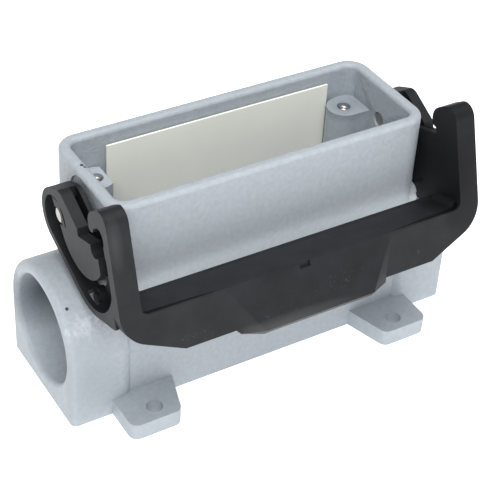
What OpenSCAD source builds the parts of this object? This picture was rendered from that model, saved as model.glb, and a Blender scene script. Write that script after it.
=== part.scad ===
// Heavy duty rectangular connector, surface mounting housing with one locking lever.
// +X runs away from the cable entry, -Y is the lever side, +Z is up.
// The origin is on the mounting face, under the middle of the opening.

/* [Housing] */
// Height from the mounting face to the rim
height = 56.2; // [52:0.1:64]
// Length of the opening for the contact insert
opening_l = 75.4; // [74:0.1:80]
// Width of the opening for the contact insert
opening_w = 24.7; // [24:0.1:27]
// Thickness of the cast walls
wall = 2.8; // [2.4:0.1:3.2]
// Inner radius of the upright corners
corner_r = 2.4; // [1.5:0.1:4]
// Rounding of both edges of the rim
rim_round = 1.1; // [0.4:0.1:1.15]
// Thickness of the closed bottom
floor_t = 3; // [2:0.1:3.6]
// Length of the lower body with its two barrel ends
body_l = 102.6; // [99:0.1:112]
// Width of the lower body and diameter of the barrel ends
body_w = 32.2; // [31.8:0.1:33]
// Length of each barrel end, measured along the body
barrel_l = 15.6; // [14.6:0.1:17]
// Rounding of the barrel ends
barrel_round = 1.5; // [0.6:0.1:2]
// Depth of the shallow recess in each end wall
recess_depth = 0.5; // [0.3:0.1:0.8]
// Height of the plain band above that recess
recess_band = 1.3; // [1:0.1:2]

/* [Cable entry] */
// Height of the cable entry axis above the mounting face
entry_z = 17; // [16.9:0.1:17.4]
// Thickness of the barrel wall around the mouth of the cable entry
entry_wall = 1.95; // [1.7:0.05:2.4]
// Rounding of that mouth
mouth_round = 1.15; // [0.6:0.05:1.8]

/* [Mounting lugs] */
// Spacing of the fixing holes along the body
lug_span_x = 66; // [62:0.1:68]
// Spacing of the fixing holes across the body
lug_span_y = 44.4; // [43:0.1:48]
// Shift of the four lugs towards the cable entry
lug_shift = 0.9; // [0:0.1:1.5]
// Diameter of the fixing holes
lug_hole_d = 3.9; // [3.5:0.1:5]
// Thickness of the lugs
lug_t = 4.3; // [3.5:0.1:5]
// Distance from a hole to the tip of its lug
lug_tip = 4; // [3.6:0.1:4.8]
// Distance from a hole to the inner corner at that tip, measured along the body
lug_tip_in = 4.9; // [4.4:0.1:5.4]
// Distance from a hole to the outer edge of its lug
lug_out = 7.5; // [6:0.1:9]
// Distance from a hole to the inner edge of its lug at the wall
lug_in = 8.7; // [7:0.1:9.5]
// Radius of the corners at the tip of a lug
lug_corner_r = 2.2; // [1:0.1:3]

/* [Insert bosses] */
// Spacing of the insert screws along the opening
insert_span_x = 66; // [62:0.1:66.5]
// Spacing of the insert screws across the opening
insert_span_y = 16; // [14:0.1:16.5]
// Diameter of the bosses
boss_d = 8.4; // [7:0.1:8.6]
// Depth of the boss faces below the rim
boss_drop = 8.4; // [7:0.1:12]
// Core diameter of the threaded holes
thread_d = 3.3; // [2.5:0.1:4]
// Depth of the threaded holes
thread_depth = 12; // [8:0.5:16]

/* [Pivot] */
// Height of the pivot axis above the mounting face
pivot_z = 47.2; // [46.8:0.1:47.8]
// Diameter of the steel pivot pins
pin_d = 3.9; // [3.4:0.1:4.4]
// Bevel of the pin ends
pin_bevel = 0.3; // [0.1:0.05:0.5]
// Clearance around a pin in the lever
pin_play = 0.05; // [0.02:0.01:0.1]
// Clearance around a pin in the housing wall
pin_fit = 0.01; // [0.01:0.01:0.02]
// Distance of the pin ends from the outer face of the lever
pin_inset = 0.45; // [0.3:0.05:1]
// Distance of the pin ends from the inner face of the end wall
pin_sink = 0.4; // [0.2:0.05:0.6]
// Radius of the cast stop that the open lever rests against
stop_r = 2.9; // [2.4:0.1:3.2]
// Distance that the stop stands out of the end wall
stop_proud = 1.2; // [1:0.05:1.4]

/* [Lever arms] */
// Gap between the end walls and the arms
arm_gap = 0.6; // [0.4:0.05:1]
// Thickness of the inner skin of an arm
lip_t = 1; // [0.8:0.05:1.2]
// Depth of the hollow between the two skins
hollow_t = 1.5; // [1.2:0.05:2]
// Thickness of the outer skin of an arm
skin_t = 2.6; // [2.2:0.05:3]
// Tilt of the open lever
open_tilt = 17.4; // [17:0.1:18]
// Distance from the pivot to the front face
lever_reach = 25.9; // [25.6:0.1:27]
// Distance from the pivot down to the lower edge of the arms
arm_drop = 19.2; // [19:0.1:19.8]
// Radius of the hub
hub_r = 7; // [6.8:0.05:7.4]
// Distance of the hub centre behind the pivot
hub_back = 1.3; // [1:0.05:1.5]
// Distance of the hub centre below the pivot
hub_sag = 1.1; // [0.9:0.05:1.3]
// Thickness of the band around the arm
band_t = 1.6; // [1.3:0.05:1.9]
// Width of the front bar
bar_w = 2.8; // [2.6:0.05:3.2]
// Distance from the pivot forward to the lowest point of the toe
toe_y = 13.8; // [13.4:0.1:14.2]
// Radius of the toe
toe_r = 12; // [11:0.1:13]
// Radius of the lower front corner
heel_r = 4.5; // [3:0.1:5]
// Radius of the pad over the hub that ends in the ramp
crest_r = 3.2; // [2.8:0.05:3.4]
// Slope of the ramp for the peg of the hood
ramp_angle = 44; // [42:0.5:46]
// Width of the boss around the pin
pin_boss_w = 1.2; // [1:0.05:1.5]

/* [Lever plate] */
// Radius of the lower edge of the plate
plate_r = 10.8; // [10.4:0.1:11.1]
// Distance from the pivot forward to the centre of that edge
plate_y = 11.7; // [11.5:0.1:12]
// Distance from the pivot forward to the front edge of the plate
plate_reach = 19.3; // [18.8:0.1:19.6]
// Distance from the pivot down to the upper edge of the plate
plate_drop = 1.7; // [1.4:0.1:2]
// Radius of the notch in the corner of the plate
notch_r = 1.8; // [1.5:0.1:2]
// Radius of the window below the plate
window_r = 13.9; // [13.6:0.1:14.2]
// Radius of the scoop in the window
scoop_r = 3.8; // [3.4:0.1:4]

/* [Lever hook] */
// Height of the hook above the pivot
hook_top = 7.5; // [7:0.1:8.2]
// Radius of the front corner of the hook
hook_r = 3; // [2.6:0.1:3.4]
// Distance from the pivot forward to the nose of the hook
nose_y = 16.9; // [16.7:0.1:17.3]
// Radius of the nose
nose_r = 3.8; // [3.6:0.1:4]
// Radius of the curled tip under the nose
tip_r = 1.15; // [0.9:0.05:1.3]
// Radius of the hollow behind the tip
curl_r = 2; // [1.8:0.05:2.1]

/* [Lever handle] */
// Thickness of the handle walls
panel_t = 2.4; // [2:0.1:3]
// Distance from the pivot down to the ledge of the handle
ledge_drop = 16.4; // [16.2:0.1:16.8]
// Distance from the pivot down to the start of the swept outer corners
sweep_drop = 15.4; // [15:0.1:16]
// Distance from the pivot forward to the rear edge of the ledge
ledge_y = 14; // [13:0.1:15]
// Width of the chamfer along the rear edge of the ledge
ledge_chamfer = 1.5; // [0.8:0.1:1.8]
// Distance from the pivot down to the lower edge of the front panel
panel_bottom = 26.8; // [26.4:0.1:27.6]
// Radius of the outer corners of the handle
corner_sweep = 8; // [7:0.1:8.6]
// Slope of the lower edge next to those corners
corner_slope = 24; // [20:0.5:30]
// Radius of the inner corners of the handle
corner_fillet = 1.8; // [1:0.1:2.4]
// Distance that the grip pad stands out at its foot
grip_proud = 2.6; // [1:0.1:3]
// Distance that the grip pad hangs below the panel
grip_hang = 2.3; // [1:0.1:3]
// Width of the grip pad at its top
grip_top_w = 43; // [36:0.5:46]
// Width of the flat of the grip pad at its foot
grip_flat_w = 28.2; // [22:0.1:30]
// Width of the grip pad at its foot, flanks included
grip_foot_w = 38; // [32:0.5:40]
// Length of the tapered slot at each end of the ledge
slot_l = 20.5; // [8:0.5:22]
// Width of the wide end of that slot
slot_w = 1.6; // [0.4:0.05:1.8]
// Distance of that slot from the front face
slot_lip = 0.6; // [0.4:0.05:0.8]
// Length of the small nick in the middle of the front edge of the ledge
nick_l = 2.7; // [1:0.1:5]
// Depth of that nick behind the front face
nick_w = 0.5; // [0.3:0.05:0.9]

/* [Card] */
// Width of the loose card
card_w = 58.8; // [40:0.1:58.8]
// Shift of the card away from the cable entry
card_shift = 0.7; // [0:0.1:0.7]
// Thickness of the card
card_t = 0.5; // [0.3:0.05:0.8]
// Gap between the card and the rear wall
card_gap = 0.5; // [0.2:0.1:0.8]
// Distance of the upper edge of the card below the rim
card_drop = 3.4; // [2:0.1:8]

/* [Hidden] */
$fn = 96;
eps = 0.01;
seat = 0.003;
over = 1;

paint = [0.72, 0.75, 0.77];
black_plastic = [0.16, 0.16, 0.17];
bare_steel = [0.72, 0.71, 0.68];
cream_card = [0.90, 0.90, 0.84];

rim_l = opening_l + 2 * wall;
end_wall_x = rim_l / 2;
body_r = body_w / 2;
mouth_d = body_w - 2 * entry_wall;
entry_d = mouth_d - 2 * mouth_round;
boss_z = height - boss_drop;
recess_top = height - recess_band;
recess_half = 5.5;

arm_in = end_wall_x + arm_gap;
hollow_in = arm_in + lip_t;
skin_in = hollow_in + hollow_t;
arm_out = skin_in + skin_t;

// The lever is drawn upright around its pivot: u runs to the rear of it, v runs up.
front = -lever_reach;
bar_in = front + bar_w;
bar_foot = -ledge_drop - panel_t / 2;
hub_c = [hub_back, -hub_sag];
toe_c = [-toe_y, toe_r - arm_drop];
heel_c = [front + heel_r, heel_r - arm_drop];
crest_c = [-2.3, 3.2];
crest_edge = crest_c + (crest_r - seat) * [-sin(ramp_angle), cos(ramp_angle)];
ramp_foot = [crest_edge[0] - crest_edge[1] / tan(ramp_angle), 0];
crest_front = crest_c[0] - 0.2;
plate_c = [-plate_y, 0];
window_c = [-10.2, -2.6];
scoop_c = [-12.4, -13.6];
notch_c = [-18, -2.6];
hook_c = [front + hook_r, hook_top - hook_r];
nose_c = [-nose_y - nose_r, 3];
tip_c = [-nose_y - tip_r, 2.75];
curl_c = [-21.4, 1.4];
// Front corner of the opening at the foot of the inner skin, its upper edge sloping down forward
foot_c = [-6.45, -17.34];
foot_r = 2.6;
foot_slope = 19.8;
// Relief cut into the toe from the hollow of the arm
relief_c = [-9.2, -17.4];
relief_r = 2.6;
relief_wall = 1.2;
// Corners of the web between the hub ring and the plate
web_top = [1.3, 4.2];
web_tip = [-4, -3];
// Height below which the band runs on between the bar and the crest
band_top = -8.6;
chamfer_angle = 25;
nick_x = -1.65;
pad_head = 1;
pip_gap = 0.15;

// Lower edge of the arm, the common tangent of the hub and the toe
edge_lead = atan2(toe_c[1] - hub_c[1], toe_c[0] - hub_c[0]);
edge_open = acos((hub_r - toe_r) / norm(toe_c - hub_c));
edge_a = edge_lead + edge_open;
edge_n = [cos(edge_a), sin(edge_a)];
pip_along = 13.9;
pip_uv = hub_c + (hub_r + stop_r + pip_gap) * edge_n + pip_along * [edge_n[1], -edge_n[0]];
pip_y = pip_uv[0] * cos(open_tilt) + pip_uv[1] * sin(open_tilt);
pip_z = pivot_z - pip_uv[0] * sin(open_tilt) + pip_uv[1] * cos(open_tilt);

// Copies of the children at both ends
module both_ends() {
  for (side = [0, 1])
    mirror([side, 0, 0])
      children();
}

// Copies of the children at the four corners
module four_corners() {
  both_ends()
    for (side = [0, 1])
      mirror([0, side, 0])
        children();
}

// Rectangle with round corners, centred
module round_rect(l, w, r) {
  square([l - 2 * r, w], center = true);
  square([l, w - 2 * r], center = true);
  for (x = [-1, 1], y = [-1, 1])
    translate([x * (l / 2 - r), y * (w / 2 - r)])
      circle(r);
}

// Outline around two circles and their outer tangents, whose ends are seated in the circles
module belt(c1, r1, c2, r2) {
  lead = atan2(c2[1] - c1[1], c2[0] - c1[0]);
  open = acos((r1 - r2) / norm(c2 - c1));
  a = [cos(lead + open), sin(lead + open)];
  b = [cos(lead - open), sin(lead - open)];
  translate(c1)
    circle(r1);
  translate(c2)
    circle(r2);
  polygon([
    c1 + (r1 - seat) * a,
    c2 + (r2 - seat) * a,
    c2 + (r2 - seat) * b,
    c1 + (r1 - seat) * b
  ]);
}

// Area between a square corner and the arc that rounds it
module corner_sliver(r) {
  difference() {
    square(r);
    translate([r, r])
      circle(r);
  }
}

// Plate between two distances along X, its outline drawn in Y and Z
module slab(from, to) {
  translate([from, 0, 0])
    rotate([90, 0, 90])
      linear_extrude(to - from)
        children();
}

// Section of the box wall with both rim edges rounded
module wall_section() {
  square([wall, height - rim_round]);
  translate([rim_round, 0])
    square([wall - 2 * rim_round, height]);
  for (x = [rim_round, wall - rim_round])
    translate([x, height - rim_round])
      circle(rim_round);
}

// Wall swept around the opening
module box_wall() {
  straight_l = opening_l / 2 - corner_r;
  straight_w = opening_w / 2 - corner_r;
  four_corners() {
    translate([0, opening_w / 2, 0])
      rotate([90, 0, 90])
        linear_extrude(straight_l)
          wall_section();
    translate([opening_l / 2, straight_w, 0])
      rotate([90, 0, 0])
        linear_extrude(straight_w)
          wall_section();
    translate([straight_l, straight_w, 0])
      rotate_extrude(angle = 90)
        translate([corner_r, 0])
          wall_section();
  }
}

// Shallow recess of the end wall, open to the front and round at its rear top corner
module end_recess() {
  reach = body_w;
  slab(end_wall_x - recess_depth, end_wall_x + over) {
    translate([-reach, body_r])
      square([reach, recess_top - body_r]);
    translate([0, body_r])
      square([recess_half, recess_top - recess_half - body_r]);
    translate([0, recess_top - recess_half])
      circle(recess_half);
  }
}

// Half outline of a barrel end: radius by length, rounded where it meets the wall and outside
module barrel_section() {
  root_r = 2 * barrel_round;
  square([body_r - root_r, barrel_l]);
  translate([0, root_r])
    square([body_r, barrel_l - root_r - barrel_round]);
  translate([0, root_r])
    square([body_r - barrel_round, barrel_l - root_r]);
  translate([body_r - root_r, root_r])
    circle(root_r);
  translate([body_r - barrel_round, barrel_l - barrel_round])
    circle(barrel_round);
}

// Barrel end at +X on its square foot
module barrel_end() {
  translate([body_l / 2 - barrel_l, 0, 0]) {
    translate([0, 0, entry_z])
      rotate([0, 90, 0])
        rotate_extrude()
          barrel_section();
    linear_extrude(entry_z)
      for (side = [0, 1])
        mirror([0, side])
          mirror([1, -1])
            barrel_section();
  }
}

// Stop for the open lever, cast on the end wall at +X
module stop_pip() {
  from = end_wall_x - recess_depth - over;
  translate([from, pip_y, pip_z])
    rotate([0, 90, 0])
      cylinder(r = stop_r, h = end_wall_x + stop_proud - from);
}

// Mounting lug at +X and +Y
module lug() {
  hole = [lug_span_x / 2, lug_span_y / 2];
  tip_y = hole[1] + lug_tip;
  out_x = hole[0] + lug_out;
  tip_x = hole[0] - lug_tip_in;
  root = [hole[0] - lug_in, opening_w / 2 + wall / 2];
  lean = atan((tip_x - root[0]) / (tip_y - root[1]));
  out_c = [out_x - lug_corner_r, tip_y - lug_corner_r];
  in_c = [tip_x + lug_corner_r * (1 - sin(lean)) / cos(lean), tip_y - lug_corner_r];
  difference() {
    linear_extrude(lug_t) {
      polygon([
        root,
        [out_x, root[1]],
        [out_x, out_c[1]],
        [out_c[0], tip_y],
        [in_c[0], tip_y],
        in_c - (lug_corner_r - seat) * [cos(lean), -sin(lean)]
      ]);
      translate(out_c)
        circle(lug_corner_r);
      translate(in_c)
        circle(lug_corner_r);
    }
    translate([hole[0], hole[1], -over])
      cylinder(d = lug_hole_d, h = lug_t + 2 * over);
  }
}

// Boss for an insert screw in the corner at +X and +Y
module insert_boss() {
  x = insert_span_x / 2;
  y = insert_span_y / 2;
  difference() {
    linear_extrude(boss_z) {
      translate([x, y])
        circle(d = boss_d);
      translate([x, y])
        square([boss_d / 2, opening_w / 2 + wall / 2 - y]);
      translate([x, y - boss_d / 4])
        square([opening_l / 2 + wall / 2 - x, boss_d / 2]);
    }
    translate([x, y, boss_z - thread_depth])
      cylinder(d = thread_d, h = thread_depth + over);
  }
}

// Cable entry along +X with its mouth rounded
module entry_bore() {
  cylinder(d = entry_d, h = (body_l - opening_l) / 2 + eps);
  rotate_extrude()
    difference() {
      square([mouth_d / 2, mouth_round]);
      translate([mouth_d / 2, mouth_round])
        circle(mouth_round);
    }
}

module housing() {
  color(paint)
    difference() {
      union() {
        difference() {
          union() {
            box_wall();
            linear_extrude(floor_t)
              round_rect(opening_l + wall, opening_w + wall, corner_r + wall / 2);
          }
          both_ends()
            end_recess();
        }
        difference() {
          both_ends() {
            barrel_end();
            stop_pip();
          }
          translate([0, 0, floor_t])
            linear_extrude(height)
              round_rect(opening_l, opening_w, corner_r);
        }
        translate([-lug_shift, 0, 0])
          four_corners()
            lug();
        four_corners()
          insert_boss();
      }
      translate([-body_l / 2, 0, entry_z])
        rotate([0, 90, 0])
          entry_bore();
      translate([opening_l / 2 - eps, 0, entry_z])
        rotate([0, 90, 0])
          cylinder(d = entry_d - 2 * wall, h = (body_l - opening_l) / 2 - wall + eps);
      both_ends()
        translate([end_wall_x - wall - over, 0, pivot_z])
          rotate([0, 90, 0])
            cylinder(d = pin_d + 2 * pin_fit, h = wall + 2 * over);
    }
}

// Outline of an arm without its hook
module arm_outline() {
  intersection() {
    belt(hub_c, hub_r, toe_c, toe_r);
    translate([toe_c[0], -arm_drop])
      square([body_w, arm_drop]);
  }
  translate(heel_c)
    circle(heel_r);
  translate([heel_c[0], -arm_drop])
    square([toe_c[0] - heel_c[0], arm_drop]);
  translate([front, bar_foot])
    square([heel_r, -bar_foot]);
  belt(crest_c, crest_r, hub_c, hub_r);
  polygon([ramp_foot, crest_edge, crest_c, hub_c, [ramp_foot[0], -arm_drop / 2]]);
}

// Space inside the band, the toe and the front bar
module arm_inside() {
  belt(hub_c, hub_r - band_t, toe_c, toe_r - band_t);
}

// Opening below the plate, with its scoop
module window() {
  intersection() {
    union() {
      translate(window_c)
        circle(window_r);
      translate(scoop_c)
        circle(scoop_r);
    }
    union() {
      arm_inside();
      translate([front, -arm_drop + band_t])
        square([toe_c[0] - front, arm_drop]);
    }
    translate([bar_in, -arm_drop])
      square([lever_reach + hub_r, 2 * arm_drop]);
  }
}

// Front bar with the hook that takes the peg of the hood
module hook() {
  difference() {
    union() {
      translate([front, bar_foot])
        square([bar_w, hook_c[1] - bar_foot]);
      translate(hook_c)
        circle(hook_r);
      intersection() {
        belt(hook_c, hook_r, nose_c, nose_r);
        translate([front, tip_c[1]])
          square([lever_reach, hook_top]);
      }
      translate(tip_c)
        circle(tip_r);
    }
    translate(curl_c)
      circle(curl_r);
    translate([curl_c[0] - curl_r, -arm_drop])
      square([2 * curl_r, arm_drop + curl_c[1]]);
  }
}

// Outer skin: crest, ramp and plate
module plate() {
  difference() {
    union() {
      belt(crest_c, crest_r, hub_c, hub_r);
      polygon([ramp_foot, crest_edge, crest_c, hub_c, [ramp_foot[0], -plate_r / 2]]);
    }
    translate(hub_c)
      circle(hub_r - band_t);
    difference() {
      translate([ramp_foot[0], -arm_drop])
        square([lever_reach, arm_drop - plate_drop]);
      translate(plate_c)
        circle(plate_r);
    }
  }
  intersection() {
    translate(plate_c)
      circle(plate_r);
    difference() {
      translate([-plate_reach, -arm_drop])
        square([lever_reach, arm_drop - plate_drop]);
      translate(notch_c)
        circle(notch_r);
    }
  }
  intersection() {
    translate(hub_c)
      circle(hub_r);
    polygon([crest_c, web_top, [0, 0], [plate_r - plate_y, 0], web_tip]);
  }
}

// Inner skin, closed but for the small opening at the foot of the window
module inner_skin() {
  difference() {
    union() {
      arm_outline();
      hook();
      translate([front, -plate_drop])
        square([lever_reach - nose_y - tip_r, plate_drop + curl_c[1] + curl_r + eps]);
    }
    intersection() {
      window();
      union() {
        translate(foot_c)
          circle(foot_r);
        translate(foot_c)
          rotate(-foot_slope)
            translate([0, foot_r - seat - arm_drop])
              square([lever_reach, arm_drop]);
      }
    }
  }
}

// Full depth outline: hub ring, toe and front bar
module frame_band() {
  difference() {
    arm_outline();
    arm_inside();
    window();
    translate([bar_in, band_top])
      square([crest_front - bar_in, lever_reach]);
  }
  hook();
}

// One arm at +X, upright around the pivot
module lever_arm() {
  difference() {
    union() {
      slab(arm_in, hollow_in)
        inner_skin();
      slab(hollow_in - eps, arm_out)
        frame_band();
      slab(skin_in, arm_out)
        plate();
      rotate([0, 90, 0])
        translate([0, 0, arm_in])
          cylinder(r = pin_d / 2 + pin_boss_w, h = skin_in + skin_t / 2 - arm_in);
    }
    slab(hollow_in, arm_out - relief_wall)
      translate(relief_c)
        circle(relief_r);
    rotate([0, 90, 0])
      translate([0, 0, arm_in - over])
        cylinder(r = pin_d / 2 + pin_play, h = arm_out);
  }
}

// Front outline of the handle: square above, swept corners below
module handle_outline() {
  sweep_c = [arm_out - corner_sweep, -sweep_drop];
  sweep_end = sweep_c + (corner_sweep - seat) * [sin(corner_slope), -cos(corner_slope)];
  run = (panel_bottom + sweep_end[1]) / tan(corner_slope);
  for (side = [0, 1])
    mirror([side, 0]) {
      translate(sweep_c)
        circle(corner_sweep);
      polygon([
        [0, hook_top + over],
        [arm_out, hook_top + over],
        [arm_out, sweep_c[1]],
        sweep_c,
        sweep_end,
        [sweep_end[0] - run, -panel_bottom],
        [0, -panel_bottom]
      ]);
    }
}

// Pad under the fingers: flush at its top, standing out at its foot
module grip_pad() {
  back = front + panel_t;
  foot_v = grip_hang + panel_bottom;
  hull() {
    translate([-grip_top_w / 2, front, -ledge_drop - pad_head])
      cube([grip_top_w, panel_t, pad_head]);
    translate([0, 0, -foot_v + grip_hang / 2])
      linear_extrude(eps)
        polygon([
          [-grip_foot_w / 2, back],
          [grip_foot_w / 2, back],
          [grip_foot_w / 2, front],
          [grip_flat_w / 2, front - grip_proud],
          [-grip_flat_w / 2, front - grip_proud],
          [-grip_foot_w / 2, front]
        ]);
    translate([-grip_flat_w / 2, front - grip_proud / 2, -foot_v])
      cube([grip_flat_w, grip_proud / 2 + panel_t, eps]);
  }
}

// Tapered slot at the +X end of the ledge, closing towards the middle
module ledge_slot() {
  translate([arm_in, front + slot_lip, bar_foot])
    linear_extrude(panel_t)
      polygon([[0, 0], [0, slot_w], [-slot_l, 0]]);
}

// Small nick in the front edge of the ledge
module ledge_nick() {
  translate([nick_x - nick_l / 2, front - over, bar_foot])
    cube([nick_l, nick_w + over, panel_t]);
}

// Handle between the arms: front panel, ledge and rounded inner corners
module handle() {
  difference() {
    union() {
      translate([-arm_out, front, -panel_bottom])
        cube([2 * arm_out, panel_t, panel_bottom - ledge_drop]);
      translate([-arm_in - eps, front, -ledge_drop - panel_t])
        cube([2 * (arm_in + eps), lever_reach - ledge_y, panel_t]);
      both_ends()
        translate([arm_in, front, -ledge_drop])
          rotate([-90, 0, 0])
            mirror([1, 1, 0])
              linear_extrude(lever_reach - ledge_y)
                corner_sliver(corner_fillet);
    }
    translate([0, -ledge_y, -ledge_drop])
      rotate([chamfer_angle, 0, 0])
        translate([-arm_out, -ledge_chamfer, 0])
          cube([2 * arm_out, 2 * ledge_chamfer, panel_t]);
  }
}

// Space for the lever: the front follows the handle outline, all behind the bars is free
module lever_limits() {
  translate([0, bar_in, 0])
    rotate([90, 0, 0])
      linear_extrude(bar_w + over)
        handle_outline();
  translate([-arm_out - over, bar_in - eps, -arm_drop - over])
    cube([2 * (arm_out + over), lever_reach + hub_r, arm_drop + hook_top + 2 * over]);
}

module locking_lever() {
  color(black_plastic)
    translate([0, 0, pivot_z])
      rotate([-open_tilt, 0, 0])
        difference() {
          union() {
            intersection() {
              union() {
                both_ends()
                  lever_arm();
                handle();
              }
              lever_limits();
            }
            grip_pad();
          }
          both_ends()
            ledge_slot();
          ledge_nick();
        }
}

// Steel pin from inside the end wall at +X to the outer skin of the lever
module pivot_pin() {
  from = end_wall_x - wall + pin_sink;
  color(bare_steel)
    translate([from, 0, pivot_z])
      rotate([0, 90, 0])
        rotate_extrude()
          polygon([
            [0, 0],
            [pin_d / 2 - pin_bevel, 0],
            [pin_d / 2, pin_bevel],
            [pin_d / 2, arm_out - pin_inset - from - pin_bevel],
            [pin_d / 2 - pin_bevel, arm_out - pin_inset - from],
            [0, arm_out - pin_inset - from]
          ]);
}

module pivot_pin_right() {
  pivot_pin();
}

module pivot_pin_left() {
  mirror([1, 0, 0])
    pivot_pin();
}

module paper_card() {
  color(cream_card)
    translate([card_shift - card_w / 2, opening_w / 2 - card_gap - card_t, floor_t])
      cube([card_w, card_t, height - card_drop - floor_t]);
}

housing();
locking_lever();
pivot_pin_left();
pivot_pin_right();
paper_card();
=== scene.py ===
# %% [markdown]
# A surface mounting housing for a heavy duty rectangular connector, with its black lever
# swung open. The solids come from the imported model, already at their real size and place.
# This script gives them soft edges, finishes, light and a camera. Its own lengths are in
# millimetres, and MM turns them into metres.

# %% Load the solids
import math

import bmesh
import bpy
from mathutils import Matrix, Vector


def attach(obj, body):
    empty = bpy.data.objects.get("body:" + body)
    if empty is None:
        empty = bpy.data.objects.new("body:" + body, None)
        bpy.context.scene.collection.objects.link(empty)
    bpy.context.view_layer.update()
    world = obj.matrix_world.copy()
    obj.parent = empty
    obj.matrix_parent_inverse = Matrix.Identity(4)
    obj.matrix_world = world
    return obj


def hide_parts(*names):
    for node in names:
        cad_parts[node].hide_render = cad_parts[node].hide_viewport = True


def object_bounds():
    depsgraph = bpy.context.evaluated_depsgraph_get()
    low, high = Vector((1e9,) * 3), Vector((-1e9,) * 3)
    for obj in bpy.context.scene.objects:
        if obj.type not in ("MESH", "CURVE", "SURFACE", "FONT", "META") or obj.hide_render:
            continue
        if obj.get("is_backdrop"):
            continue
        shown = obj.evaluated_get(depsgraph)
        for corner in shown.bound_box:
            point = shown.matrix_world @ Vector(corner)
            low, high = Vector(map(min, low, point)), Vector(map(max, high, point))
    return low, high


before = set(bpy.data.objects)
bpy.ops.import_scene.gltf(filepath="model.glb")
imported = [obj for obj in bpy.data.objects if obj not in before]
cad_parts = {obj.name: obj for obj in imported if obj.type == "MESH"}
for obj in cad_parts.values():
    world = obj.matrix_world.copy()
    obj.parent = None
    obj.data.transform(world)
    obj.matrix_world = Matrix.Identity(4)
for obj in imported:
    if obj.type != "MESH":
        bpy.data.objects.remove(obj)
cad_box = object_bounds()
MM = 0.001
print("solids:", sorted(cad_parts))


def deselect():
    bpy.ops.object.select_all(action="DESELECT")


def choose(piece):
    deselect()
    piece.select_set(True)
    bpy.context.view_layer.objects.active = piece


# %% [markdown]
# The photo looks down on the long side from the left. The camera's turn, tilt, roll and
# distance were worked out from edges of the part whose real sizes are known, so that the
# render lies over the photo. A long lens keeps the far end nearly as large as the near one.

# %% Camera
CAMERA_PLACE = Vector((-147.68, -229.58, 234.88)) * MM
CAMERA_TURN = math.radians(-33.38)
CAMERA_TILT = math.radians(38.013)
CAMERA_ROLL = math.radians(3.858)
CAMERA_LENS = 104.77
SENSOR_WIDTH = 36
CLIP_START = 10 * MM

back = Vector((
    math.sin(CAMERA_TURN) * math.cos(CAMERA_TILT),
    -math.cos(CAMERA_TURN) * math.cos(CAMERA_TILT),
    math.sin(CAMERA_TILT),
))
level = Vector((math.cos(CAMERA_TURN), math.sin(CAMERA_TURN), 0))
upright = back.cross(level)
right = level * math.cos(CAMERA_ROLL) + upright * math.sin(CAMERA_ROLL)
up = upright * math.cos(CAMERA_ROLL) - level * math.sin(CAMERA_ROLL)

camera = bpy.data.objects.new("camera", bpy.data.cameras.new("camera"))
bpy.context.scene.collection.objects.link(camera)
camera.data.sensor_width = SENSOR_WIDTH
camera.data.lens = CAMERA_LENS
camera.data.clip_start = CLIP_START
facing = Matrix((right, up, back)).transposed().to_4x4()
camera.matrix_world = Matrix.Translation(CAMERA_PLACE) @ facing
bpy.context.scene.camera = camera
print("camera at", [round(v, 3) for v in camera.location])

# %% [markdown]
# Real castings and mouldings have no knife edges. A copy of each big solid is merged and its
# flat faces are made whole again, so that it can be worked on like any other mesh. The solid
# itself stays as it was, for the physics, and the copy is shown in its place.

# %% Working copies of the two big solids
MERGE_GAP = 0.002
FLAT = math.radians(0.3)


def working_copy(node, name):
    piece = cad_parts[node].copy()
    piece.data = piece.data.copy()
    piece.name = name
    bpy.context.scene.collection.objects.link(piece)
    mesh = bmesh.new()
    mesh.from_mesh(piece.data)
    bmesh.ops.remove_doubles(mesh, verts=mesh.verts, dist=MERGE_GAP * MM)
    bmesh.ops.dissolve_limit(mesh, angle_limit=FLAT, verts=mesh.verts, edges=mesh.edges)
    open_edges = sum(not edge.is_manifold for edge in mesh.edges)
    mesh.to_mesh(piece.data)
    mesh.free()
    print(name, "faces", len(piece.data.polygons), "open edges", open_edges)
    return piece


housing = working_copy("housing", "cast_housing")
lever = working_copy("locking_lever", "moulded_lever")

# %% [markdown]
# A block or a disc added by an operator can be cut out of a piece, or joined to it, with the
# Boolean modifier. That is how a machinist and a mould maker think too: stock, minus cuts. A
# cutter stands out of the piece by CLEAR, and a joined piece reaches into it by KEY, so that
# no two faces lie in one plane.

# %% Cutting and joining
CLEAR, KEY = 1.0, 0.5
ROUND_STEPS = 48


def apply_all(piece):
    choose(piece)
    for modifier in list(piece.modifiers):
        bpy.ops.object.modifier_apply(modifier=modifier.name)


def span(side, near, far):
    return sorted((side * near, side * far))


def block(low, high):
    deselect()
    size = [(b - a) * MM for a, b in zip(low, high)]
    centre = [(a + b) / 2 * MM for a, b in zip(low, high)]
    bpy.ops.mesh.primitive_cube_add(size=1, location=centre, scale=size)
    bpy.ops.object.transform_apply(location=True, rotation=True, scale=True)
    return bpy.context.object


def disc(centre, radius, low, high, axis="Z", steps=ROUND_STEPS):
    deselect()
    turn = {"Z": (0, 0, 0), "X": (0, math.pi / 2, 0)}[axis]
    middle = (low + high) / 2
    place = (middle, *centre) if axis == "X" else (*centre, middle)
    bpy.ops.mesh.primitive_cylinder_add(
        vertices=steps, radius=radius * MM, depth=(high - low) * MM,
        location=[v * MM for v in place], rotation=turn)
    bpy.ops.object.transform_apply(location=True, rotation=True, scale=True)
    return bpy.context.object


def combine(piece, tools, operation):
    for tool in tools:
        choose(piece)
        step = piece.modifiers.new("tool", "BOOLEAN")
        step.operation = operation
        step.solver = "EXACT"
        step.object = tool
        bpy.ops.object.modifier_apply(modifier=step.name)
        bpy.data.objects.remove(tool)


# %% [markdown]
# The photo shows two things about the screw bosses. Those at the right run on to the end wall
# with a flat front as wide as the boss. Those at the left are narrower towards the middle.
# Both are worked into the copy: webs are joined on, and a slice is cut off.

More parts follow.
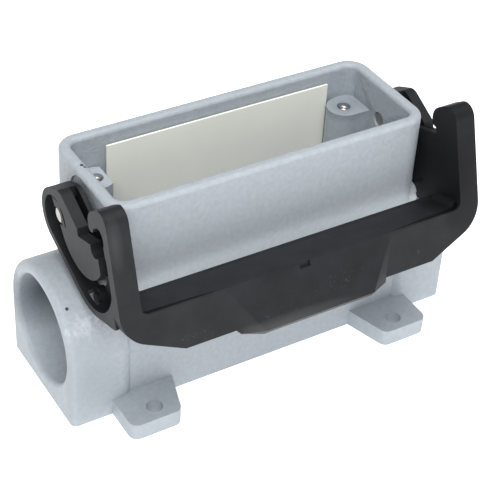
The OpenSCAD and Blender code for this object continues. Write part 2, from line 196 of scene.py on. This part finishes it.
# %% Screw bosses
BOSS_X, BOSS_Y, BOSS_R, BOSS_TOP = 33.0, 8.0, 4.2, 47.8
WELL_X, WELL_Y, WELL_FLOOR = 37.7, 12.35, 3.0
HOLE_R, HOLE_FLOOR = 1.65, 35.8
NARROW_X, NARROW_CUT = -30.5, 4

for side in (-1, 1):
    near, far = span(side, BOSS_Y - BOSS_R, WELL_Y + KEY)
    web = block((BOSS_X, near, WELL_FLOOR - KEY), (WELL_X + KEY, far, BOSS_TOP))
    hole = disc((BOSS_X, side * BOSS_Y), HOLE_R, HOLE_FLOOR, BOSS_TOP + CLEAR)
    combine(web, [hole], "DIFFERENCE")
    combine(housing, [web], "UNION")
    near, far = span(side, BOSS_Y - BOSS_R - CLEAR, WELL_Y)
    slice_off = block(
        (NARROW_X, near, WELL_FLOOR), (NARROW_X + NARROW_CUT, far, BOSS_TOP + CLEAR))
    combine(housing, [slice_off], "DIFFERENCE")
print("housing after the bosses:", len(housing.data.polygons), "faces")

# %% [markdown]
# The foot of each arm is drawn as on an upright arm: u runs to the rear and v up, both from
# the pivot. The open lever leans forward by TILT, so each outline is tilted into place, and a
# flat outline is pulled out to a prism along X.

# %% Outlines on the tilted lever
PIVOT_Z, TILT = 47.2, math.radians(17.4)


def on_lever(u, v):
    y = u * math.cos(TILT) + v * math.sin(TILT)
    z = PIVOT_Z - u * math.sin(TILT) + v * math.cos(TILT)
    return y, z


def prism(corners, low, high):
    deselect()
    bpy.ops.mesh.primitive_circle_add(vertices=len(corners), fill_type="NGON")
    piece = bpy.context.object
    for vertex, corner in zip(piece.data.vertices, corners):
        vertex.co = (low * MM, *(v * MM for v in on_lever(*corner)))
    pull = {"value": ((high - low) * MM, 0, 0)}
    bpy.ops.object.mode_set(mode="EDIT")
    bpy.ops.mesh.select_all(action="SELECT")
    bpy.ops.mesh.extrude_region_move(TRANSFORM_OT_translate=pull)
    bpy.ops.mesh.select_all(action="SELECT")
    bpy.ops.mesh.normals_make_consistent(inside=False)
    bpy.ops.object.mode_set(mode="OBJECT")
    return piece


# %% [markdown]
# At the foot of each arm the inner skin has an opening. The round stop that is cast on the end
# wall sits in it, and beside it the photo shows a nub on a low step, in a dark pocket. The
# solid's own stop sits a little to one side, so a short bar carries it on to the opening.

# %% Stops on the housing, foot openings and nubs on the arms
SKIN_IN, SKIN_OUT = 41.1, 42.1
STOP_C, STOP_R = (-5.2, -17.7), 2.95
SOLID_STOP_C = (-2.92, -17.73)
STOP_END, STOP_LENGTH = 41.7, 2.7
FOOT_C, FOOT_R = (-5.3, -17.65), 3.35
FOOT_CORNERS = [(-6.3, -17.2), (-5.9, -14.6), (-12.6, -12.1), (-9.0, -17.0)]
STEP_C, STEP_R, STEP_END, STEP_KEY = (-9.2, -17.4), 2.7, 43.4, 0.4
TOE_C, TOE_R = (-13.8, -7.2), 11.8
NUB_C, NUB_R, NUB_END, NUB_KEY, NUB_STEPS = (-9.6, -17.15), 1.45, 44.2, 0.2, 32

stop_bar = [(u, v + edge * STOP_R) for (u, v), edge in (
    (STOP_C, 1), (STOP_C, -1), (SOLID_STOP_C, -1), (SOLID_STOP_C, 1))]
for side in (-1, 1):
    low, high = span(side, STOP_END - STOP_LENGTH, STOP_END)
    stop = disc(on_lever(*STOP_C), STOP_R, low, high, "X")
    combine(housing, [stop, prism(stop_bar, low, high)], "UNION")
    low, high = span(side, SKIN_IN - KEY, SKIN_OUT)
    opening = disc(on_lever(*FOOT_C), FOOT_R, low, high, "X")
    combine(lever, [opening, prism(FOOT_CORNERS, low, high)], "DIFFERENCE")
    low, high = span(side, SKIN_OUT - STEP_KEY, STEP_END)
    step = disc(on_lever(*STEP_C), STEP_R, low, high, "X")
    toe = disc(on_lever(*TOE_C), TOE_R, low - CLEAR, high + CLEAR, "X")
    combine(step, [toe], "INTERSECT")
    low, high = span(side, SKIN_OUT - NUB_KEY, NUB_END)
    nub = disc(on_lever(*NUB_C), NUB_R, low, high, "X", NUB_STEPS)
    combine(lever, [step, nub], "UNION")
print("lever after the feet:", len(lever.data.polygons), "faces")

# %% [markdown]
# All edges sharper than SHARP get a small round, wider on the casting than on the moulding.
# Faces with very many corners are split first, because a bevel can make them span a gap. The
# shading normals are then set by hand: at each corner the faces within BLEND of one another
# count by their area, so that wide flat faces look flat and the rounds look round.

# %% Soft edges
SHARP, BLEND = math.radians(32), math.radians(48)
MANY_CORNERS = 40
HOUSING_EDGE, LEVER_EDGE, EDGE_STEPS = 0.5, 0.3, 3


def even_normals(mesh):
    faces = mesh.polygons
    around = [[] for _ in mesh.vertices]
    for face in faces:
        for vertex in face.vertices:
            around[vertex].append(face.index)
    normals = [None] * len(mesh.loops)
    for face in faces:
        for loop, vertex in zip(face.loop_indices, face.vertices):
            close = [faces[n] for n in around[vertex]
                     if faces[n].normal.dot(face.normal) > math.cos(BLEND)]
            total = sum((near.normal * near.area for near in close), Vector())
            normals[loop] = total.normalized() if total.length else face.normal.copy()
    mesh.shade_smooth()
    mesh.normals_split_custom_set(normals)


def soften(piece, width, segments):
    choose(piece)
    whole = piece.modifiers.new("sound_faces", "TRIANGULATE")
    whole.min_vertices = MANY_CORNERS
    apply_all(piece)
    bevel = piece.modifiers.new("edges", "BEVEL")
    bevel.width = width * MM
    bevel.segments = segments
    bevel.limit_method = "ANGLE"
    bevel.angle_limit = SHARP
    bevel.miter_outer = "MITER_ARC"
    apply_all(piece)
    even_normals(piece.data)
    print(piece.name, "softened:", len(piece.data.polygons), "faces")


soften(housing, HOUSING_EDGE, EDGE_STEPS)
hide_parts("housing")
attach(housing, "body")
soften(lever, LEVER_EDGE, EDGE_STEPS)
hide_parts("locking_lever")
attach(lever, "lever")

# %% [markdown]
# The four screw holes are threaded, and the bare metal of the thread catches the light. A
# thread is one small outline wound up a helix: the Screw modifier turns a short zigzag edge
# around the axis and lifts it by one pitch a turn.

# %% Threads in the screw bosses
THREAD_PITCH, THREAD_TURNS, THREAD_STEPS = 0.7, 11, 28
THREAD_OUT, THREAD_IN, THREAD_DROP = 1.66, 1.40, 0.35
CREST_RISE, ROOT_RISE = 0.42, 0.84


def thread(x, y, name):
    deselect()
    bpy.ops.mesh.primitive_circle_add(vertices=3, radius=MM, fill_type="NOTHING")
    piece = bpy.context.object
    piece.name = name
    outline = [(THREAD_OUT, 0), (THREAD_IN, THREAD_PITCH * CREST_RISE),
               (THREAD_OUT, THREAD_PITCH * ROOT_RISE)]
    for vertex, (radius, rise) in zip(piece.data.vertices, outline):
        vertex.co = (radius * MM, 0, rise * MM)
    winding = piece.modifiers.new("winding", "SCREW")
    winding.axis = "Z"
    winding.screw_offset = THREAD_PITCH * MM
    winding.iterations = THREAD_TURNS
    winding.steps = winding.render_steps = THREAD_STEPS
    winding.use_merge_vertices = False
    apply_all(piece)
    top = max(v.co.z for v in piece.data.vertices)
    bpy.ops.object.mode_set(mode="EDIT")
    bpy.ops.mesh.select_all(action="SELECT")
    bpy.ops.mesh.normals_make_consistent(inside=False)
    bpy.ops.transform.translate(value=(x * MM, y * MM, (BOSS_TOP - THREAD_DROP) * MM - top))
    bpy.ops.object.mode_set(mode="OBJECT")
    bpy.ops.object.shade_smooth_by_angle(angle=SHARP)
    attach(piece, "body")
    return piece


threads = [thread(x, y, f"thread_{end}_{row}")
           for end, x in (("left", -BOSS_X), ("right", BOSS_X))
           for row, y in (("front", -BOSS_Y), ("rear", BOSS_Y))]
print("thread:", len(threads[0].data.polygons), "faces each")

# %% [markdown]
# The part is shown on a white light table, as catalogue photos often are. The table glows a
# little, so no hard shadow falls on it, and the lower walls are lit from below.

# %% Light table and surroundings
TABLE_SIZE, TABLE_DROP = 6, 0.0002
TABLE_GREY, TABLE_ROUGHNESS, TABLE_SHEEN, TABLE_GLOW = 0.8, 0.9, 0.1, 0.75
AIR_GLOW = 0.3

bpy.context.scene.view_settings.view_transform = "Standard"
deselect()
bpy.ops.mesh.primitive_plane_add(size=TABLE_SIZE, location=(0, 0, -TABLE_DROP))
floor = bpy.context.object
floor.name = "floor"
floor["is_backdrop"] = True
light_table = bpy.data.materials.new("light_table")
light_table.use_nodes = True
shader = light_table.node_tree.nodes["Principled BSDF"]
shader.inputs["Base Color"].default_value = (TABLE_GREY, TABLE_GREY, TABLE_GREY, 1)
shader.inputs["Roughness"].default_value = TABLE_ROUGHNESS
shader.inputs["Specular IOR Level"].default_value = TABLE_SHEEN
shader.inputs["Emission Color"].default_value = (1, 1, 1, 1)
shader.inputs["Emission Strength"].default_value = TABLE_GLOW
floor.data.materials.append(light_table)

world = bpy.data.worlds.new("studio")
bpy.context.scene.world = world
world.use_nodes = True
air = world.node_tree.nodes["Background"]
air.inputs["Color"].default_value = (1, 1, 1, 1)
air.inputs["Strength"].default_value = AIR_GLOW
print("table", TABLE_SIZE, "m wide, glow", TABLE_GLOW)

# %% [markdown]
# Three large soft lights do the rest. The strong ones come from above, one of them from the
# front and left: they brighten the rim and the barrel end, and leave the inner faces of the
# arms dark. A weak one from the front keeps the lever's front from going black.

# %% Soft lights
LIGHT_AIM = Vector((0, 0, 0.03))


def soft_light(name, place, size, power):
    lamp = bpy.data.lights.new(name, "AREA")
    lamp.shape = "DISK"
    lamp.size = size
    lamp.energy = power
    holder = bpy.data.objects.new(name, lamp)
    bpy.context.scene.collection.objects.link(holder)
    holder.location = place
    holder.rotation_mode = "QUATERNION"
    holder.rotation_quaternion = (LIGHT_AIM - Vector(place)).to_track_quat("-Z", "Y")
    print(name, "at", place, "m,", power, "W")


soft_light("key_light", (-0.35, -0.5, 0.8), 0.6, 5.1)
soft_light("top_light", (0.05, -0.1, 1.0), 0.8, 5.6)
soft_light("front_light", (-0.1, -0.95, 0.3), 0.8, 1.6)

# %% [markdown]
# Every finish is built from nodes on Object coordinates, so it stays on the part from all
# sides. What several finishes share is made once, as a node group with named sockets. Three
# helpers keep the building of a group short.

# %% Helpers for node groups
NOISE_DETAIL, NOISE_ROUGHNESS = 2, 0.5


def new_group(name, inputs, outputs):
    group = bpy.data.node_groups.new(name, "ShaderNodeTree")
    for title, kind, value in inputs:
        socket = group.interface.new_socket(title, in_out="INPUT", socket_type=kind)
        socket.default_value = value
    for title, kind in outputs:
        group.interface.new_socket(title, in_out="OUTPUT", socket_type=kind)
    return group, group.nodes.new("NodeGroupInput"), group.nodes.new("NodeGroupOutput")


def noise(tree, vector, scale, detail=NOISE_DETAIL, roughness=NOISE_ROUGHNESS):
    node = tree.nodes.new("ShaderNodeTexNoise")
    node.inputs["Detail"].default_value = detail
    node.inputs["Roughness"].default_value = roughness
    tree.links.new(vector, node.inputs["Vector"])
    tree.links.new(scale, node.inputs["Scale"])
    return node.outputs["Fac"]


def maths(tree, kind, first, second, clamp=False):
    node = tree.nodes.new("ShaderNodeMath")
    node.operation = kind
    node.use_clamp = clamp
    for socket, value in zip(node.inputs, (first, second)):
        if isinstance(value, (int, float)):
            socket.default_value = value
        else:
            tree.links.new(value, socket)
    return node.outputs["Value"]


# %% [markdown]
# Paint, plastic, paper and turned steel all have a skin that is not quite even. A coarse and
# a fine noise are mixed to a height for bump, and the coarse one alone gives the tone.

# %% Uneven skin
skin, here, there = new_group(
    "uneven_skin",
    [("Vector", "NodeSocketVector", (0, 0, 0)), ("Coarse", "NodeSocketFloat", 500.0),
     ("Fine", "NodeSocketFloat", 2000.0), ("Balance", "NodeSocketFloat", 0.5)],
    [("Height", "NodeSocketFloat"), ("Tone", "NodeSocketFloat")])
coarse = noise(skin, here.outputs["Vector"], here.outputs["Coarse"])
fine = noise(skin, here.outputs["Vector"], here.outputs["Fine"])
part = maths(skin, "MULTIPLY", fine, here.outputs["Balance"])
left_over = maths(skin, "SUBTRACT", 1.0, here.outputs["Balance"])
rest = maths(skin, "MULTIPLY", coarse, left_over)
skin.links.new(maths(skin, "ADD", part, rest), there.inputs["Height"])
skin.links.new(coarse, there.inputs["Tone"])
print("group:", skin.name, len(skin.nodes), "nodes")

# %% [markdown]
# Specks, scuffs and shades sit at one place each. The patch group makes a mask that fades from
# a centre to the rim of an ellipsoid, and noise can break it up into grains.

# %% Patch
PATCH_DETAIL, PATCH_ROUGHNESS, PATCH_EDGE = 3, 0.6, 4.0

patch, here, there = new_group(
    "patch",
    [("Vector", "NodeSocketVector", (0, 0, 0)), ("Centre", "NodeSocketVector", (0, 0, 0)),
     ("Size", "NodeSocketVector", (0.01, 0.01, 0.01)), ("Break", "NodeSocketFloat", 1.0),
     ("Grain", "NodeSocketFloat", 800.0), ("Cut", "NodeSocketFloat", 0.5)],
    [("Mask", "NodeSocketFloat")])
reach = here.outputs["Vector"]
for kind, title in (("SUBTRACT", "Centre"), ("DIVIDE", "Size")):
    node = patch.nodes.new("ShaderNodeVectorMath")
    node.operation = kind
    patch.links.new(reach, node.inputs[0])
    patch.links.new(here.outputs[title], node.inputs[1])
    reach = node.outputs[0]
length = patch.nodes.new("ShaderNodeVectorMath")
length.operation = "LENGTH"
patch.links.new(reach, length.inputs[0])
near = maths(patch, "SUBTRACT", 1.0, length.outputs["Value"], clamp=True)
speckle = noise(
    patch, here.outputs["Vector"], here.outputs["Grain"], PATCH_DETAIL, PATCH_ROUGHNESS)
broken = maths(patch, "SUBTRACT", speckle, here.outputs["Cut"])
broken = maths(patch, "MULTIPLY", broken, here.outputs["Break"])
mask = maths(patch, "ADD", near, broken)
edge = maths(patch, "MULTIPLY", near, PATCH_EDGE, clamp=True)
mask = maths(patch, "MULTIPLY", mask, edge, clamp=True)
patch.links.new(mask, there.inputs["Mask"])
print("group:", patch.name, len(patch.nodes), "nodes")

# %% [markdown]
# Each finish starts the same way: Object coordinates go into the uneven skin, its height goes
# to a Bump node, and its tone mixes two shades of the colour. Each patch then mixes one more
# colour over what is there. A shade is a patch that is not broken up.

# %% A finish
MIX_FACTOR, MIX_FIRST, MIX_SECOND, MIX_RESULT = 0, 6, 7, 2
TONE_LOW, TONE_HIGH = 0.3, 0.7


class Finish:
    def __init__(self, name, shades, roughness, skin_scales, bump, metallic=0.0):
        self.material = bpy.data.materials.new(name)
        self.material.use_nodes = True
        self.tree = self.material.node_tree
        self.shader = self.tree.nodes["Principled BSDF"]
        self.shader.inputs["Metallic"].default_value = metallic
        self.shader.inputs["Roughness"].default_value = roughness
        self.place = self.tree.nodes.new("ShaderNodeTexCoord").outputs["Object"]
        cover = self.group(skin)
        for title, value in zip(("Coarse", "Fine", "Balance"), skin_scales):
            cover.inputs[title].default_value = value
        mixed = self.tree.nodes.new("ShaderNodeMix")
        mixed.data_type = "RGBA"
        for socket, colour in zip((MIX_FIRST, MIX_SECOND), shades):
            mixed.inputs[socket].default_value = (*colour, 1)
        spread = self.tree.nodes.new("ShaderNodeMapRange")
        spread.inputs["From Min"].default_value = TONE_LOW
        spread.inputs["From Max"].default_value = TONE_HIGH
        self.tree.links.new(cover.outputs["Tone"], spread.inputs["Value"])
        self.tree.links.new(spread.outputs["Result"], mixed.inputs[MIX_FACTOR])
        self.colour = mixed.outputs[MIX_RESULT]
        relief = self.tree.nodes.new("ShaderNodeBump")
        relief.inputs["Strength"].default_value = 1.0
        relief.inputs["Distance"].default_value = bump * MM
        self.tree.links.new(cover.outputs["Height"], relief.inputs["Height"])
        self.tree.links.new(relief.outputs["Normal"], self.shader.inputs["Normal"])

    def group(self, tree):
        node = self.tree.nodes.new("ShaderNodeGroup")
        node.node_tree = tree
        self.tree.links.new(self.place, node.inputs["Vector"])
        return node

    def mark(self, centre, size, colour, strength, spread, grain, cut):
        spot = self.group(patch)
        spot.inputs["Centre"].default_value = [v * MM for v in centre]
        spot.inputs["Size"].default_value = [v * MM for v in size]
        spot.inputs["Break"].default_value = spread
        spot.inputs["Grain"].default_value = grain
        spot.inputs["Cut"].default_value = cut
        mixed = self.tree.nodes.new("ShaderNodeMix")
        mixed.data_type = "RGBA"
        mixed.inputs[MIX_SECOND].default_value = (*colour, 1)
        self.tree.links.new(self.colour, mixed.inputs[MIX_FIRST])
        factor = maths(self.tree, "MULTIPLY", spot.outputs["Mask"], strength)
        self.tree.links.new(factor, mixed.inputs[MIX_FACTOR])
        self.colour = mixed.outputs[MIX_RESULT]

    def shade(self, centre, size, colour, strength=1.0):
        self.mark(centre, size, colour, strength, spread=0, grain=800.0, cut=0.5)

    def done(self):
        self.tree.links.new(self.colour, self.shader.inputs["Base Color"])
        print("finish:", self.material.name, len(self.tree.nodes), "nodes")
        return self.material


# %% [markdown]
# The housing is a light metal casting under a pale blue-grey powder coat. The coat has a
# shallow pebbled skin about a millimetre across and a soft sheen. Wide shades darken the
# inside of the cable entry, the barrel's front and the right boss tops. In the photo that is
# mostly less light, which the lamps here don't give. A rubbed patch and three dark specks are
# marks on this very part.

# %% Painted casting
PAINT_SHADES = (0.385, 0.425, 0.465), (0.43, 0.47, 0.51)
PAINT_SKIN, PAINT_BUMP = (850.0, 2800.0, 0.35), 0.21
PAINT_ROUGHNESS, PAINT_SHEEN = 0.5, 0.35
SPECK_COLOUR, SPECK_STRENGTH = (0.05, 0.05, 0.055), 3
SPECKS = {(-38.8, 2.9, 56.2): 0.55, (-38.5, 2.0, 56.2): 0.45, (-49.1, -9.9, 29.6): 0.5}

paint = Finish("painted_casting", PAINT_SHADES, PAINT_ROUGHNESS, PAINT_SKIN, PAINT_BUMP)
paint.shader.inputs["Specular IOR Level"].default_value = PAINT_SHEEN
paint.shade(centre=(-44, 13, 17), size=(13, 9, 12), colour=(0.08, 0.09, 0.105))
paint.mark(centre=(-46.5, -13.2, 26.4), size=(6, 4, 4), colour=(0.56, 0.60, 0.64),
           strength=0.8, spread=5, grain=900, cut=0.55)
paint.mark(centre=(-42.5, -13.6, 25.6), size=(4, 3, 3), colour=(0.24, 0.26, 0.29),
           strength=0.7, spread=5, grain=1200, cut=0.62)
paint.shade(centre=(-47, -15.5, 13), size=(9, 4, 16), colour=(0.31, 0.345, 0.38))
for row in (-BOSS_Y, BOSS_Y):
    paint.shade(centre=(BOSS_X, row, BOSS_TOP), size=(8, 7, 3), colour=(0.2, 0.225, 0.25))
for speck, radius in SPECKS.items():
    paint.shade(speck, (radius, radius, radius), SPECK_COLOUR, SPECK_STRENGTH)
painted_casting = paint.done()

# %% [markdown]
# The lever is black fibre-filled plastic, satin from a finely grained mould. One shade darkens
# the inner face of the right arm, and two lighten the lower front and the left arm's edge, as
# the photo's light does. Four places on the front have pale scuffs.

# %% Black moulding
BLACK_SHADES = (0.013, 0.0137, 0.016), (0.019, 0.020, 0.023)
BLACK_SKIN, BLACK_BUMP = (180.0, 2600.0, 0.6), 0.06
BLACK_ROUGHNESS, BLACK_SHEEN = 0.52, 0.22
SCUFF_COLOUR = (0.085, 0.087, 0.09)
SCUFFS = {
    (-31, -32, 31.5): (10, 3, 2.6),
    (-12, -33.5, 31): (12, 3, 3),
    (28.1, -31.7, 32.8): (3, 1.6, 1.2),
    (5, -32, 33): (14, 4, 4),
}

black = Finish("black_moulding", BLACK_SHADES, BLACK_ROUGHNESS, BLACK_SKIN, BLACK_BUMP)
black.shader.inputs["Specular IOR Level"].default_value = BLACK_SHEEN
# Painted shade: the inner face of the right arm is darkened where shade falls.
black.shade((42, -24, 46), (9, 15, 22), colour=(0.003, 0.003, 0.004), strength=1.2)
# Painted highlights: the lower front and the left arm's edge are lightened where light falls
# on them.
black.shade((-10.6, -35.2, 29.2), (24, 3, 2.4), colour=(0.06, 0.061, 0.064))
black.shade((-44.8, -24.5, 56), (2.2, 4, 9), colour=(0.045, 0.047, 0.05), strength=0.9)
for centre, size in SCUFFS.items():
    black.mark(centre, size, SCUFF_COLOUR, strength=0.8, spread=6, grain=1500, cut=0.72)
black_moulding = black.done()

# %% [markdown]
# The pins are turned steel, dulled by handling. The threads were cut after painting, so they
# show bare metal too. The card is a plain cream board.

# %% Steel and card
STEEL_SHADES = (0.34, 0.335, 0.32), (0.46, 0.455, 0.44)
STEEL_SKIN, STEEL_BUMP, STEEL_ROUGHNESS = (700.0, 4000.0, 0.5), 0.02, 0.36
CARD_SHADES = (0.91, 0.92, 0.835), (0.945, 0.955, 0.87)
CARD_SKIN, CARD_BUMP, CARD_ROUGHNESS = (60.0, 3000.0, 0.7), 0.02, 0.85

bare_steel = Finish(
    "bare_steel", STEEL_SHADES, STEEL_ROUGHNESS, STEEL_SKIN, STEEL_BUMP, metallic=1.0).done()
cream_paper = Finish(
    "cream_paper", CARD_SHADES, CARD_ROUGHNESS, CARD_SKIN, CARD_BUMP).done()

# %% [markdown]
# Each solid gets its finish, also the two that aren't shown, and so does each piece that was
# made here.

# %% Put the finishes on
finishes = {
    "housing": painted_casting,
    "locking_lever": black_moulding,
    "pivot_pin_left": bare_steel,
    "pivot_pin_right": bare_steel,
    "paper_card": cream_paper,
}
dressed = [(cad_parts[node], finish) for node, finish in finishes.items()]
dressed += [(housing, painted_casting), (lever, black_moulding)]
dressed += [(piece, bare_steel) for piece in threads]
for piece, finish in dressed:
    piece.data.materials.clear()
    piece.data.materials.append(finish)
print("dressed:", len(dressed), "objects")

# %% [markdown]
# The boxes of the solids and of what is shown are put side by side in one table.

# %% Finish
size = {"cad": [list(v) for v in cad_box], "visual": [list(v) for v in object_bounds()]}
